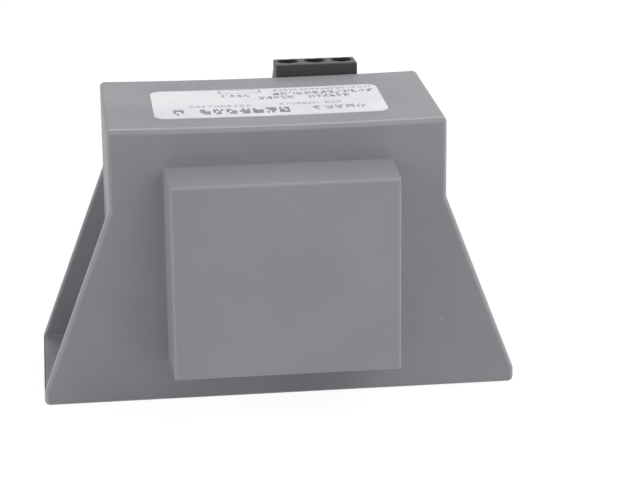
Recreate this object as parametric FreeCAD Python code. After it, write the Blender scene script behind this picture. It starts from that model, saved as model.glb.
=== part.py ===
"""Enclosed mains transformer with mounting feet, potted in a moulded case.

Millimetres, +Z up. The origin is on the mounting plane, midway between the
two foot holes. The coil cover points towards -Y and the terminals towards +Y.
"""
import FreeCAD, Part
import math
import os

Vector = FreeCAD.Vector

# Laminated core, stamped as E and I sheets that leave no scrap
core_width = 54.0
sheet_thickness = 0.65
stack_height = 18.85
core_clearance = 0.25
core_side_clearance = 0.5

# Coil former with two winding chambers
tube_clearance = 0.2
tube_wall = 1.0
flange_thickness = 1.2
flange_side_gap = 0.6
former_end_clearance = 0.2
divider_drop = 0.6
former_corner_radius = 0.8

# Windings and their tape
primary_margin = 1.2
secondary_margin = 1.6
tape_thickness = 0.25
winding_corner_radius = 3.0
lead_diameter = 0.8
lead_hole_clearance = 0.2

# Moulded case: walls, top and feet
wall = 1.6
top_rise = 1.5
foot_reach = 12.2
foot_thickness = 2.6
gusset_drop = 14.1
hole_inset = 6.3
hole_diameter = 4.5

# Moulded case: parting line and edge radii
lip_depth = 1.0
parting_step = 0.12
lip_radius = 0.85
top_corner_radius = 1.0
top_edge_radius = 0.7
concave_radius = 1.5
foot_corner_radius = 0.9
base_corner_radius = 0.6
rim_chamfer = 0.3
recess_radius = 0.6

# Raised cover over the front of the coil
cover_side_gap = 0.3
cover_end_gap = 1.95
cover_front_gap = 3.35
cover_lift = 0.3
cover_draft_deg = 1.5
cover_edge_radius = 0.7
cover_root_radius = 0.3

# Potting resin
resin_recess = 1.5
resin_over_flange = 1.4

# Terminal blocks
pitch = 5.0
primary_poles = 3
secondary_poles = 2
block_height = 10.0
block_top_depth = 5.4
block_foot_depth = 7.8
block_neck_height = 1.6
block_shoulder_drop = 3.8
block_rise = 1.65
block_gap = 1.0
primary_block_x = 10.7
secondary_block_x = -10.7
screw_bore = 3.7
screw_bore_depth = 4.0
screw_head_diameter = 3.5
screw_head_height = 1.5
screw_slot_width = 0.6
screw_slot_depth = 0.8
screw_shank = 2.5
thread_clearance = 0.05
wire_entry = 3.0
chamber_width = 4.0
chamber_depth = 4.6
chamber_wall = 0.8
chamber_floor = 0.5
chamber_roof = 0.6
cage_wall = 0.7
cage_clearance = 0.1
contact_thickness = 0.6
contact_width = 2.2
pin_width = 0.9
pin_clearance = 0.05
block_edge_chamfer = 0.2

# Shelves of the coil former that carry the terminal blocks
shelf_thickness = 5.0
shelf_margin = 0.5
shelf_back_margin = 0.4
shelf_lip = 2.0
shelf_root = 1.4
tail_drop = 2.4
tail_reach = 2.2

# Rating label
label_side_margin = 8.8
label_front_margin = 7.2
label_center_x = -0.2
label_center_y = -0.8
label_thickness = 0.12
label_corner_radius = 2.0

# Core: the tongue is two limbs wide, and each window is as wide as a limb
limb = core_width / 6
window_width = limb
window_length = 3 * limb
core_height = 5 * limb
tongue_width = 2 * limb

# Former: it fills the windows, and its flanges reach out as far on all sides
tube_inner_width = tongue_width + 2 * tube_clearance
tube_inner_depth = stack_height + 2 * tube_clearance
tube_outer_width = tube_inner_width + 2 * tube_wall
tube_outer_depth = tube_inner_depth + 2 * tube_wall
flange_width = tongue_width + 2 * window_width - 2 * flange_side_gap
flange_reach = (flange_width - tube_outer_width) / 2
flange_depth = tube_outer_depth + 2 * flange_reach
former_half_height = window_length / 2 - former_end_clearance
primary_build = flange_reach - primary_margin
secondary_build = flange_reach - secondary_margin

# Case: it fits round the core, and its cover round the former
case_depth = (
    wall + core_clearance + stack_height / 2 + flange_depth / 2 + resin_over_flange + resin_recess
)
body_width = core_width + 2 * (core_side_clearance + wall)
height_front = core_height + 2 * (core_clearance + wall)
height_back = height_front + top_rise
base_length = body_width + 2 * foot_reach
hole_spacing = base_length - 2 * hole_inset
gusset_top = height_front - gusset_drop
cover_width = flange_width + 2 * (cover_side_gap + wall)
cover_height = 2 * (former_half_height + cover_end_gap + wall)
cover_projection = flange_depth / 2 - stack_height / 2 - core_clearance + cover_front_gap

# Places along the depth, from the front wall back
front_y = -case_depth / 2
back_y = case_depth / 2
half_body = body_width / 2
half_base = base_length / 2
half_cavity = half_body - wall
top_slope = top_rise / case_depth
cavity_front_y = front_y + wall
core_front_y = cavity_front_y + core_clearance
core_center_y = core_front_y + stack_height / 2
flange_back_y = core_center_y + flange_depth / 2
resin_y = back_y - resin_recess
block_front_y = back_y + block_gap
shelf_front_y = flange_back_y - shelf_root
shelf_back_y = block_front_y + block_foot_depth + shelf_back_margin
tail_end_y = shelf_front_y - tail_reach

# Heights, from the mounting plane up
core_center_z = wall + core_clearance + core_height / 2
cover_center_z = core_center_z + cover_lift
upper_flange_z = core_center_z + former_half_height - flange_thickness
lower_flange_z = core_center_z - former_half_height
divider_z = core_center_z - divider_drop - flange_thickness / 2
primary_shelf_z = height_back + block_rise - block_height
secondary_shelf_z = lower_flange_z + flange_thickness

# Label
label_width = body_width - 2 * label_side_margin
label_depth = case_depth - 2 * label_front_margin


def top_z(y):
    """Height of the sloping top face at a place along Y."""
    return height_front + (y - front_y) * top_slope


def round_outline(corners, y):
    """Closed wire in an XZ plane; each corner is (x, z, radius)."""
    count = len(corners)
    edges = []
    starts = []
    ends = []
    arcs = []
    for index in range(count):
        x, z, radius = corners[index]
        here = Vector(x, y, z)
        before = Vector(corners[index - 1][0], y, corners[index - 1][1]) - here
        after_corner = corners[(index + 1) % count]
        after = Vector(after_corner[0], y, after_corner[1]) - here
        before.normalize()
        after.normalize()
        half_angle = before.getAngle(after) / 2
        tangent = radius / math.tan(half_angle)
        bisector = before + after
        bisector.normalize()
        reach = radius / math.sin(half_angle) - radius
        starts.append(here + before * tangent)
        ends.append(here + after * tangent)
        arcs.append(here + bisector * reach)
    for index in range(count):
        edges.append(Part.Arc(starts[index], arcs[index], ends[index]).toShape())
        edges.append(Part.LineSegment(ends[index], starts[(index + 1) % count]).toShape())
    return Part.Wire(edges)


def prism(wire, depth):
    """Solid made by pushing a wire in an XZ plane along +Y."""
    return Part.Face(wire).extrude(Vector(0, depth, 0))


def side_profile(points, width, center_x=0.0):
    """Solid with a YZ profile, extruded along X about center_x."""
    corners = [Vector(center_x - width / 2, y, z) for y, z in points]
    face = Part.Face(Part.makePolygon(corners + corners[:1]))
    return face.extrude(Vector(width, 0, 0))


def box(x0, x1, y0, y1, z0, z1):
    """Block between two corners."""
    return Part.makeBox(x1 - x0, y1 - y0, z1 - z0, Vector(x0, y0, z0))


def ring_block(width, depth, height, radius, center, z):
    """Upright block with rounded corners, standing on z."""
    x, y = center
    solid = box(x - width / 2, x + width / 2, y - depth / 2, y + depth / 2, z, z + height)
    upright = [edge for edge in solid.Edges if abs(edge.tangentAt(edge.FirstParameter).z) > 0.9]
    return solid.makeFillet(radius, upright)


def edges_at(shape, test):
    """Edges whose middle point passes the test."""
    picked = []
    for edge in shape.Edges:
        middle = edge.valueAt((edge.FirstParameter + edge.LastParameter) / 2)
        if test(middle):
            picked.append(edge)
    return picked


def near(value, target):
    return abs(value - target) < 1e-4


def case_outline(inset, height):
    """Corners of the end view: box body on a foot that widens downwards."""
    half_top = half_body - inset
    half_bottom = half_base - inset
    right = [
        (half_bottom, 0.0, base_corner_radius),
        (half_bottom, foot_thickness, foot_corner_radius),
        (half_top, gusset_top, concave_radius),
        (half_top, height, top_corner_radius),
    ]
    left = [(-x, z, radius) for x, z, radius in reversed(right)]
    return right + left


def rim_edges(shape, y):
    """The outer loop of a flat end face."""
    return edges_at(shape, lambda middle: near(middle.y, y))


def case_shell_outside():
    """Main moulding behind the parting line, with its sloping top."""
    start_y = front_y + lip_depth
    blank = prism(round_outline(case_outline(0.0, height_back + 2.0), start_y), back_y - start_y)
    below_top = side_profile(
        [(start_y, -1.0), (back_y, -1.0), (back_y, top_z(back_y)), (start_y, top_z(start_y))],
        base_length + 2.0,
    )
    body = blank.common(below_top)
    top_sides = edges_at(
        body,
        lambda middle: near(abs(middle.x), half_body) and near(middle.z, top_z(middle.y)),
    )
    body = body.makeFillet(top_edge_radius, top_sides)
    return body.makeChamfer(rim_chamfer, rim_edges(body, back_y))


def case_lip():
    """Front slab, a little smaller all round, with its rounded front edge."""
    outline = case_outline(parting_step, height_front - parting_step)
    slab = prism(round_outline(outline, front_y), lip_depth)
    return slab.makeFillet(lip_radius, rim_edges(slab, front_y))


def cover_block(inset, front, back):
    """Tapered block of the raised coil cover, inset from its outer face."""
    spans = []
    for y in (front, back):
        growth = (y - front_y + cover_projection) * math.tan(math.radians(cover_draft_deg)) - inset
        half_width = cover_width / 2 + growth
        half_height = cover_height / 2 + growth
        spans.append((half_width, cover_center_z - half_height, cover_center_z + half_height))
    (half_front, low_front, high_front), (half_back, low_back, high_back) = spans
    return Part.makeWedge(
        -half_front, front, low_front, low_back, -half_back,
        half_front, back, high_front, high_back, half_back,
    )


def case_cavity(end_y):
    """Space inside the case, from the front wall to end_y."""
    room = side_profile(
        [
            (cavity_front_y, wall),
            (end_y, wall),
            (end_y, top_z(end_y) - wall),
            (cavity_front_y, top_z(cavity_front_y) - wall),
        ],
        2 * half_cavity,
    )
    bulge = cover_block(wall, front_y - cover_projection + wall, cavity_front_y + wall)
    return room.fuse(bulge).removeSplitter()


def foot_recess(side):
    """Screw space between the gussets at one end; side is 1 or -1."""
    reach = half_base + 2.0
    low_x, high_x = sorted((side * half_body, side * reach))
    tool = box(
        low_x, high_x, front_y + wall, back_y - wall, foot_thickness, gusset_top + 2 * concave_radius
    )
    lower = edges_at(
        tool,
        lambda middle: near(middle.z, foot_thickness) and not near(abs(middle.x), reach),
    )
    return tool.makeFillet(recess_radius, lower)


def foot_hole(side):
    """Through hole for the mounting screw."""
    place = Vector(side * hole_spacing / 2, 0, -1.0)
    return Part.makeCylinder(hole_diameter / 2, foot_thickness + 2.0, place)


def housing():
    """The whole case as one moulding, with its lip, cover, recesses and holes."""
    cover = cover_block(0.0, front_y - cover_projection, cavity_front_y)
    cover = cover.makeFillet(
        cover_edge_radius, edges_at(cover, lambda middle: middle.y < cavity_front_y - 1.0)
    )
    case = case_shell_outside().fuse(case_lip()).fuse(cover)
    root = edges_at(
        case,
        lambda middle: near(middle.y, front_y)
        and abs(middle.x) < cover_width / 2 + 1.0
        and abs(middle.z - cover_center_z) < cover_height / 2 + 1.0,
    )
    case = case.makeFillet(cover_root_radius, root)
    case = case.cut(case_cavity(back_y + 1.0))
    for side in (1, -1):
        case = case.cut(foot_recess(side)).cut(foot_hole(side))
    return case


def label():
    """Flat sticker on the sloping top."""
    angle = math.degrees(math.atan(top_slope))
    blank = ring_block(label_width, label_depth, label_thickness, label_corner_radius, (0, 0), 0)
    place = Vector(label_center_x, label_center_y, top_z(label_center_y))
    blank.Placement = FreeCAD.Placement(place, FreeCAD.Rotation(Vector(1, 0, 0), angle))
    return blank


def sheet(outline, y, thickness):
    """One stamping, or a block of that shape, from y onwards."""
    corners = [Vector(x, y, core_center_z + z) for x, z in outline]
    face = Part.Face(Part.makePolygon(corners + corners[:1]))
    return face.extrude(Vector(0, thickness, 0))


def stack(outline):
    """Sheets of one shape, face to face along Y."""
    count = round(stack_height / sheet_thickness)
    thickness = stack_height / count
    return [sheet(outline, core_front_y + index * thickness, thickness) for index in range(count)]


def core_outlines():
    """The E sheet with its yoke at the bottom and the I sheet above it."""
    half = core_width / 2
    leg = half - window_width
    tongue = tongue_width / 2
    low = -core_height / 2
    high = window_length / 2
    floor = -window_length / 2
    e_sheet = [
        (-half, low),
        (half, low),
        (half, high),
        (leg, high),
        (leg, floor),
        (tongue, floor),
        (tongue, high),
        (-tongue, high),
        (-tongue, floor),
        (-leg, floor),
        (-leg, high),
        (-half, high),
    ]
    i_sheet = [(-half, high), (half, high), (half, core_height / 2), (-half, core_height / 2)]
    return e_sheet, i_sheet


def shelf(center_x, poles, low, top):
    """Ledge of the coil former that carries one terminal block."""
    width = poles * pitch + 2 * shelf_margin
    profile = [
        (shelf_front_y, low),
        (back_y, low),
        (shelf_back_y, top - shelf_lip),
        (shelf_back_y, top),
        (shelf_front_y, top),
    ]
    return side_profile(profile, width, center_x)


def pole_places(center_x, poles):
    """X of each pole of a block."""
    return [center_x + (index - (poles - 1) / 2) * pitch for index in range(poles)]


def lead_places(center_x, poles):
    """The outer two poles carry the ends of a winding."""
    places = pole_places(center_x, poles)
    return [places[0], places[-1]]


def pin_shape(x, base, margin):
    """Contact bar, leg and tail of one solder pin, grown by margin for its slot."""
    leg_front = block_front_y + chamber_wall - margin
    leg_back = block_front_y + chamber_wall + contact_thickness + margin
    half = pin_width / 2 + margin
    tail_low = base - tail_drop - margin
    tail_high = base - tail_drop + contact_thickness + margin
    leg = box(x - half, x + half, leg_front, leg_back, tail_low, contact_z(base))
    tail = box(x - half, x + half, tail_end_y - margin, leg_back, tail_low, tail_high)
    return leg.fuse(tail).removeSplitter()


def contact_z(base):
    """Underside of the contact bar, just below the roof of the cage."""
    return base + chamber_top() - cage_clearance - cage_wall - contact_thickness


def chamber_top():
    """Height of the chamber roof above the foot of the block."""
    return block_height - screw_bore_depth - chamber_roof


def solder_pin(x, base):
    low = contact_z(base)
    start = block_front_y + chamber_wall
    end = block_front_y + chamber_wall + chamber_depth - cage_clearance
    bar = box(x - contact_width / 2, x + contact_width / 2, start, end,
              low, low + contact_thickness)
    return pin_shape(x, base, 0.0).fuse(bar).removeSplitter()


def cage_span():
    """Y range of a clamp cage, between the pin's leg and the chamber's end."""
    start = block_front_y + chamber_wall + contact_thickness + cage_clearance
    end = block_front_y + chamber_wall + chamber_depth
    return start, end - cage_clearance


def screw_y():
    start, end = cage_span()
    return (start + end) / 2


def clamp_cage(x, base):
    """Square frame that the screw draws up against the contact bar."""
    start, end = cage_span()
    half = chamber_width / 2 - cage_clearance
    low = base + chamber_floor
    high = base + chamber_top() - cage_clearance
    frame = box(x - half, x + half, start, end, low, high)
    window = box(x - half + cage_wall, x + half - cage_wall, start - 1, end + 1,
                 low + cage_wall, high - cage_wall)
    thread = Part.makeCylinder(
        screw_shank / 2 + thread_clearance, 2 * cage_wall, Vector(x, screw_y(), high - 1.5 * cage_wall)
    )
    return frame.cut(window).cut(thread)


def clamp_screw(x, base):
    """Slotted cheese-head screw, seated in its bore."""
    seat = base + block_height - screw_bore_depth
    center = Vector(x, screw_y(), seat)
    head = Part.makeCylinder(screw_head_diameter / 2, screw_head_height, center)
    slot = box(x - screw_head_diameter, x + screw_head_diameter,
               screw_y() - screw_slot_width / 2, screw_y() + screw_slot_width / 2,
               seat + screw_head_height - screw_slot_depth, seat + screw_head_height + 1)
    tip = contact_z(base) + contact_thickness
    shank = Part.makeCylinder(screw_shank / 2, seat - tip, Vector(x, screw_y(), tip))
    return head.cut(slot).fuse(shank)


def block_body(center_x, poles, base):
    """Moulded terminal housing with a chamber, screw bore and wire entry per pole."""
    front = block_front_y
    profile = [
        (front, base),
        (front + block_foot_depth, base),
        (front + block_foot_depth, base + block_height - block_shoulder_drop),
        (front + block_top_depth, base + block_height - block_neck_height),
        (front + block_top_depth, base + block_height),
        (front, base + block_height),
    ]
    body = side_profile(profile, poles * pitch, center_x)
    upper = edges_at(body, lambda middle: middle.z > base + block_height / 4)
    body = body.makeChamfer(block_edge_chamfer, upper)
    for x in pole_places(center_x, poles):
        start = front + chamber_wall
        chamber = box(x - chamber_width / 2, x + chamber_width / 2, start, start + chamber_depth,
                      base + chamber_floor, base + chamber_top())
        bore_floor = base + block_height - screw_bore_depth
        bore = Part.makeCylinder(screw_bore / 2, screw_bore_depth + 1, Vector(x, screw_y(), bore_floor))
        reach = screw_shank / 2 + 2 * thread_clearance
        neck = box(x - reach, x + reach, screw_y() - reach, screw_y() + reach,
                   base + chamber_top() - chamber_roof, bore_floor + chamber_roof)
        entry_z = base + chamber_floor + cage_wall + wire_entry / 2
        entry = Part.makeCylinder(
            wire_entry / 2, block_foot_depth, Vector(x, start + chamber_depth / 2, entry_z), Vector(0, 1, 0)
        )
        slot = box(x - pin_width / 2 - pin_clearance, x + pin_width / 2 + pin_clearance,
                   start - pin_clearance, start + contact_thickness + pin_clearance,
                   base - 1, base + chamber_floor + 1)
        body = body.cut(Part.makeCompound([chamber, bore, entry, slot])).cut(neck)
    return body


def coil_former():
    """Tube with three flanges and the two terminal shelves, moulded in one."""
    center = (0.0, core_center_y)
    half_width = tube_outer_width / 2
    half_depth = tube_outer_depth / 2
    former = box(-half_width, half_width, core_center_y - half_depth, core_center_y + half_depth,
                 lower_flange_z, lower_flange_z + 2 * former_half_height)
    for z in (lower_flange_z, divider_z, upper_flange_z):
        flange = ring_block(flange_width, flange_depth, flange_thickness, former_corner_radius,
                            center, z)
        former = former.fuse(flange)
    upper = shelf(primary_block_x, primary_poles, upper_flange_z, primary_shelf_z)
    lower = shelf(secondary_block_x, secondary_poles, secondary_shelf_z - shelf_thickness,
                  secondary_shelf_z)
    former = former.fuse(upper).fuse(lower)
    half_width = tube_inner_width / 2
    half_depth = tube_inner_depth / 2
    former = former.cut(box(-half_width, half_width, core_center_y - half_depth,
                            core_center_y + half_depth, 0, height_back))
    for center_x, poles, top in (
        (primary_block_x, primary_poles, primary_shelf_z),
        (secondary_block_x, secondary_poles, secondary_shelf_z),
    ):
        for x in pole_places(center_x, poles):
            former = former.cut(pin_shape(x, top, pin_clearance))
    return former.cut(Part.makeCompound(lead_channels())).removeSplitter()


def lead_y():
    return tail_end_y + lead_diameter / 2 + pin_clearance


def winding(build, low, high):
    """Wound ring in one chamber of the former."""
    center = (0.0, core_center_y)
    outer = ring_block(tube_outer_width + 2 * build, tube_outer_depth + 2 * build, high - low,
                       winding_corner_radius, center, low)
    half_width = tube_outer_width / 2
    half_depth = tube_outer_depth / 2
    return outer.cut(box(-half_width, half_width, core_center_y - half_depth,
                         core_center_y + half_depth, low, high))


def tape(build, low, high):
    """One wrap of tape round a winding."""
    center = (0.0, core_center_y)
    width = tube_outer_width + 2 * build
    depth = tube_outer_depth + 2 * build
    outer = ring_block(width + 2 * tape_thickness, depth + 2 * tape_thickness, high - low,
                       winding_corner_radius + tape_thickness, center, low)
    inner = ring_block(width, depth, high - low, winding_corner_radius, center, low)
    return outer.cut(inner)


def lead(x, low, high):
    return Part.makeCylinder(lead_diameter / 2, high - low, Vector(x, lead_y(), low))


def lead_runs():
    """Places and heights of the wire ends: (x, low, high) for each winding."""
    primary_run = (upper_flange_z, primary_shelf_z - tail_drop)
    secondary_run = (secondary_shelf_z - tail_drop + contact_thickness, secondary_shelf_z)
    primary = [(x, *primary_run) for x in lead_places(primary_block_x, primary_poles)]
    secondary = [(x, *secondary_run) for x in lead_places(secondary_block_x, secondary_poles)]
    return primary, secondary


def lead_channels():
    """Square ways through the flanges in which the wire ends run."""
    primary, secondary = lead_runs()
    half = lead_diameter / 2 + lead_hole_clearance
    return [
        box(x - half, x + half, lead_y() - half, lead_y() + half, low, high)
        for x, low, high in primary + secondary
    ]


def build_parts():
    """Every node of the transformer, by name."""
    lower_chamber = (lower_flange_z + flange_thickness, divider_z)
    upper_chamber = (divider_z + flange_thickness, upper_flange_z)
    e_outline, i_outline = core_outlines()
    primary_runs, secondary_runs = lead_runs()
    parts = {
        "housing": [housing()],
        "rating_label": [label()],
        "e_laminations": stack(e_outline),
        "i_laminations": stack(i_outline),
        "coil_former": [coil_former()],
        "primary_winding": [winding(primary_build, *upper_chamber)],
        "secondary_winding": [winding(secondary_build, *lower_chamber)],
        "primary_tape": [tape(primary_build, *upper_chamber)],
        "secondary_tape": [tape(secondary_build, *lower_chamber)],
        "primary_leads": [lead(*run) for run in primary_runs],
        "secondary_leads": [lead(*run) for run in secondary_runs],
    }
    for name, center_x, poles, base in (
        ("primary", primary_block_x, primary_poles, primary_shelf_z),
        ("secondary", secondary_block_x, secondary_poles, secondary_shelf_z),
    ):
        places = pole_places(center_x, poles)
        parts[name + "_terminal_body"] = [block_body(center_x, poles, base)]
        parts[name + "_clamp_cages"] = [clamp_cage(x, base) for x in places]
        parts[name + "_clamp_screws"] = [clamp_screw(x, base) for x in places]
        parts[name + "_solder_pins"] = [solder_pin(x, base) for x in places]
    parts["potting_resin"] = [potting(parts)]
    return parts


def potting(parts):
    """Resin that fills the case round everything inside it."""
    resin = case_cavity(resin_y)
    core = [sheet(outline, core_front_y, stack_height) for outline in core_outlines()]
    half_width = tube_inner_width / 2
    half_depth = tube_inner_depth / 2
    tube_space = box(-half_width, half_width, core_center_y - half_depth,
                     core_center_y + half_depth, lower_flange_z,
                     lower_flange_z + 2 * former_half_height)
    inside = [
        solid
        for name in ("coil_former", "primary_winding", "secondary_winding", "primary_tape",
                     "secondary_tape", "primary_solder_pins", "secondary_solder_pins")
        for solid in parts[name]
    ]
    for solid in core + [tube_space] + inside + lead_channels():
        resin = resin.cut(solid)
    return resin


def main():
    os.makedirs("parts", exist_ok=True)
    for name, solids in build_parts().items():
        shape = solids[0] if len(solids) == 1 else Part.makeCompound(solids)
        shape.exportStep("parts/" + name + ".step")


main()
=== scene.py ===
import math

import bmesh
import bpy
from mathutils import Matrix, Vector


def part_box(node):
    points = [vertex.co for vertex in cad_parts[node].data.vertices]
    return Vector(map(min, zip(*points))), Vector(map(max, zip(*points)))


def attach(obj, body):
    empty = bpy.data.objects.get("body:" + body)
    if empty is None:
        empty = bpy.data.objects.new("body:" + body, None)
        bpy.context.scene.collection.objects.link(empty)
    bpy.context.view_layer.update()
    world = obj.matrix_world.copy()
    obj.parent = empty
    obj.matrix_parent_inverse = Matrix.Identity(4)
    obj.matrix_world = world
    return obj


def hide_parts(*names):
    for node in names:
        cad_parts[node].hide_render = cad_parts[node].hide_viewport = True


bl_info = {
    "name": "Enclosed transformer",
    "version": (1, 0, 0),
    "blender": (4, 5, 0),
    "location": "View3D > Sidebar > Transformer",
    "description": "Dresses a potted mains transformer on its packed CAD frame",
    "category": "Object",
}

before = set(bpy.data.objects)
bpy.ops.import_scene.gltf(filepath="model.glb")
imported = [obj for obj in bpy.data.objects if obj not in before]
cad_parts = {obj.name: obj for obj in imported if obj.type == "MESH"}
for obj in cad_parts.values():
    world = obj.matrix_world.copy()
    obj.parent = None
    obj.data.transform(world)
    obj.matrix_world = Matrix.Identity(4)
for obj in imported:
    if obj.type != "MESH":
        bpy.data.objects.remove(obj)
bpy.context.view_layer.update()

MM = 0.001

# Sizes that the case shares with its CAD node
case_low, case_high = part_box("housing")
HALF_BASE = case_high.x
BACK_Y = case_high.y
FRONT_Y = -BACK_Y
COVER_FRONT_Y = case_low.y
HALF_BODY = 29.1 * MM
WALL = 1.6 * MM
HEIGHT_FRONT = 48.7 * MM
TOP_RISE = 1.5 * MM
GUSSET_TOP = 34.6 * MM
FOOT_THICKNESS = 2.6 * MM
FOOT_HOLE_X = 35.0 * MM
FOOT_HOLE_RADIUS = 2.25 * MM
LIP_DEPTH = 1.0 * MM
PARTING_STEP = 0.12 * MM
COVER_HALF_WIDTH = 19.3 * MM
COVER_HALF_HEIGHT = 16.85 * MM
COVER_CENTER_Z = 24.65 * MM
COVER_DRAFT = math.radians(1.5)

# Case edges that have no setting of their own
FLASH_RADIUS = 0.08 * MM
BACK_RIM_RADIUS = 0.3 * MM
FOOT_TOP_REACH = 0.2 * MM
GUSSET_TOP_REACH = 0.35 * MM
LIP_LEAN = math.radians(27)
LIP_DRAFT = 0.005 * MM
FOOT_END_RADIUS = 0.2 * MM
BACK_MOUTH_RADIUS = 0.15 * MM

# Label, resin and former
LABEL_THICKNESS = 0.12 * MM
RESIN_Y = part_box("potting_resin")[1].y
RESIN_SKIN = 0.6 * MM
RESIN_CLIMB = 0.5 * MM
RESIN_CLIMB_WIDTH = 0.6 * MM
FORMER_EDGE_RADIUS = 0.3 * MM

# Small shift that keeps two faces out of one plane, a cutter's reach into open space, and
# the width below which a face is none
TRIM = 0.01 * MM
CUTTER_REACH = 0.45 * MM
SLIVER = 0.0001 * MM

# Sizes that the terminal blocks share with their CAD nodes
PITCH = 5.0 * MM
BLOCK_TOP_DEPTH = 5.4 * MM
BLOCK_NECK = 1.6 * MM
BLOCK_SHOULDER = 3.8 * MM
BORE_RADIUS = 1.85 * MM
BORE_DEPTH = 4.0 * MM
BORE_FLARE = 0.15 * MM
SCREW_Y = 3.4 * MM
HEAD_RADIUS = 1.75 * MM
HEAD_HEIGHT = 1.5 * MM
HEAD_EDGE_RADIUS = 0.25 * MM
SHANK_RADIUS = 1.25 * MM
SHANK_CLEARANCE = 0.1 * MM
SHANK_BORE_LOW = 5.0 * MM
SHANK_BORE_DROP = 3.5 * MM
SLOT_WIDTH = 0.6 * MM
SLOT_DEPTH = 0.8 * MM
CHAMBER_HALF_WIDTH = 2.0 * MM
CHAMBER_WALL = 0.8 * MM
CHAMBER_FLOOR = 0.5 * MM
CHAMBER_TOP = 5.4 * MM
ENTRY_RADIUS = 1.5 * MM
ENTRY_DEPTH = 3.0 * MM
ENTRY_FLARE = 0.7 * MM
ENTRY_Z = 2.7 * MM

# Photograph's camera: place, angles in degrees, and lens on a 36 mm sensor
CAMERA_PLACE = Vector((-36.96, -372.73, 135.07)) * MM
CAMERA_AZIMUTH = 6.782
CAMERA_ELEVATION = 16.444
CAMERA_ROLL = -0.647
CAMERA_LENS = 122.6
CAMERA_SHIFT = (0.0132, -0.0085)

# Lamps and floor
LAMP_AIM = Vector((0.0, 0.0, 20.0)) * MM
LAMP_DISTANCE = 900.0 * MM
FLOOR_SIZE = 4000.0 * MM
# The floor shows mostly as an even glow just past white, and the rest is lit paper
FLOOR_GLOW = 1.12
FLOOR_GLOW_SHARE = 0.84


# Settings


class CaseSettings(bpy.types.PropertyGroup):
    """Edges and finish of the moulded case."""

    lip_band: bpy.props.FloatProperty(
        name="Front bevel", description="Depth of the bevel ahead of the parting line",
        default=0.7 * MM, min=0.0, unit="LENGTH")
    lip_radius: bpy.props.FloatProperty(
        name="Front edge", description="Radius between the front bevel and the front wall",
        default=0.4 * MM, min=0.0, unit="LENGTH")
    corner_radius: bpy.props.FloatProperty(
        name="Corners", description="Radius of the corners of the end view",
        default=0.88 * MM, min=0.0, unit="LENGTH")
    cover_radius: bpy.props.FloatProperty(
        name="Cover edges", description="Radius of the raised cover's outer edges",
        default=0.7 * MM, min=0.0, unit="LENGTH")
    cover_corner: bpy.props.FloatProperty(
        name="Cover corners", description="Radius of the raised cover's receding edges",
        default=0.25 * MM, min=0.0, unit="LENGTH")
    root_radius: bpy.props.FloatProperty(
        name="Cover root", description="Radius where the raised cover meets the front wall",
        default=0.2 * MM, min=0.0, unit="LENGTH")
    gusset_radius: bpy.props.FloatProperty(
        name="Gusset edges", description="Radius of the gussets' inner edges",
        default=0.45 * MM, min=0.0, unit="LENGTH")
    recess_radius: bpy.props.FloatProperty(
        name="Foot recesses", description="Radius in the inner corners of the foot recesses",
        default=0.25 * MM, min=0.0, unit="LENGTH")
    sag: bpy.props.FloatProperty(
        name="Top sag", description="How far the top has shrunk inwards at its middle",
        default=0.35 * MM, min=0.0, unit="LENGTH")
    colour: bpy.props.StringProperty(
        name="Plastic", description="sRGB hex colour of the moulded plastic", default="9A999E")


class LabelSettings(bpy.types.PropertyGroup):
    """Rating label."""

    corner_radius: bpy.props.FloatProperty(
        name="Corners", description="Radius of the label's corners",
        default=2.0 * MM, min=0.0, unit="LENGTH")
    film: bpy.props.StringProperty(
        name="Film", description="sRGB hex colour of the film", default="F7F7FB")
    ink: bpy.props.StringProperty(
        name="Ink", description="sRGB hex colour of the print", default="4A4A50")


class TerminalSettings(bpy.types.PropertyGroup):
    """Terminal blocks and their screws."""

    edge_radius: bpy.props.FloatProperty(
        name="Block edges", description="Radius of the terminal blocks' outer edges",
        default=0.22 * MM, min=0.0, unit="LENGTH")
    plastic: bpy.props.StringProperty(
        name="Block plastic", description="sRGB hex colour of the blocks", default="3B3B3A")


class StageSettings(bpy.types.PropertyGroup):
    """Light round the object."""

    sky: bpy.props.FloatProperty(
        name="Sky", description="Strength of the even light from all round", default=0.28, min=0.0)
    right_power: bpy.props.FloatProperty(
        name="Right lamp", description="Power of the lamp at the right",
        default=1.98, min=0.0, unit="POWER")
    high_power: bpy.props.FloatProperty(
        name="High right lamp", description="Power of the high lamp at the right",
        default=2.08, min=0.0, unit="POWER")
    left_power: bpy.props.FloatProperty(
        name="Left lamp", description="Power of the low lamp at the left",
        default=2.82, min=0.0, unit="POWER")
    front_power: bpy.props.FloatProperty(
        name="Front lamp", description="Power of the low lamp in front",
        default=1.03, min=0.0, unit="POWER")
    back_power: bpy.props.FloatProperty(
        name="Back lamp", description="Power of the lamp behind",
        default=0.60, min=0.0, unit="POWER")


# Shapes


def near(value, target, tolerance=0.02 * MM):
    """Whether a place is the target but for rounding."""
    return abs(value - target) < tolerance


def middle_of(edge):
    """Middle of an edge."""
    return (edge.verts[0].co + edge.verts[1].co) / 2


def once_each(items):
    """The items without repeats, in their order, which a set wouldn't keep."""
    return list(dict.fromkeys(items))


def thicken(bm, offset):
    """Makes a closed solid of an open patch by extruding all of it."""
    extruded = bmesh.ops.extrude_face_region(bm, geom=list(bm.faces))
    verts = [item for item in extruded["geom"] if isinstance(item, bmesh.types.BMVert)]
    bmesh.ops.translate(bm, vec=offset, verts=verts)
    bmesh.ops.recalc_face_normals(bm, faces=bm.faces)


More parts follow.
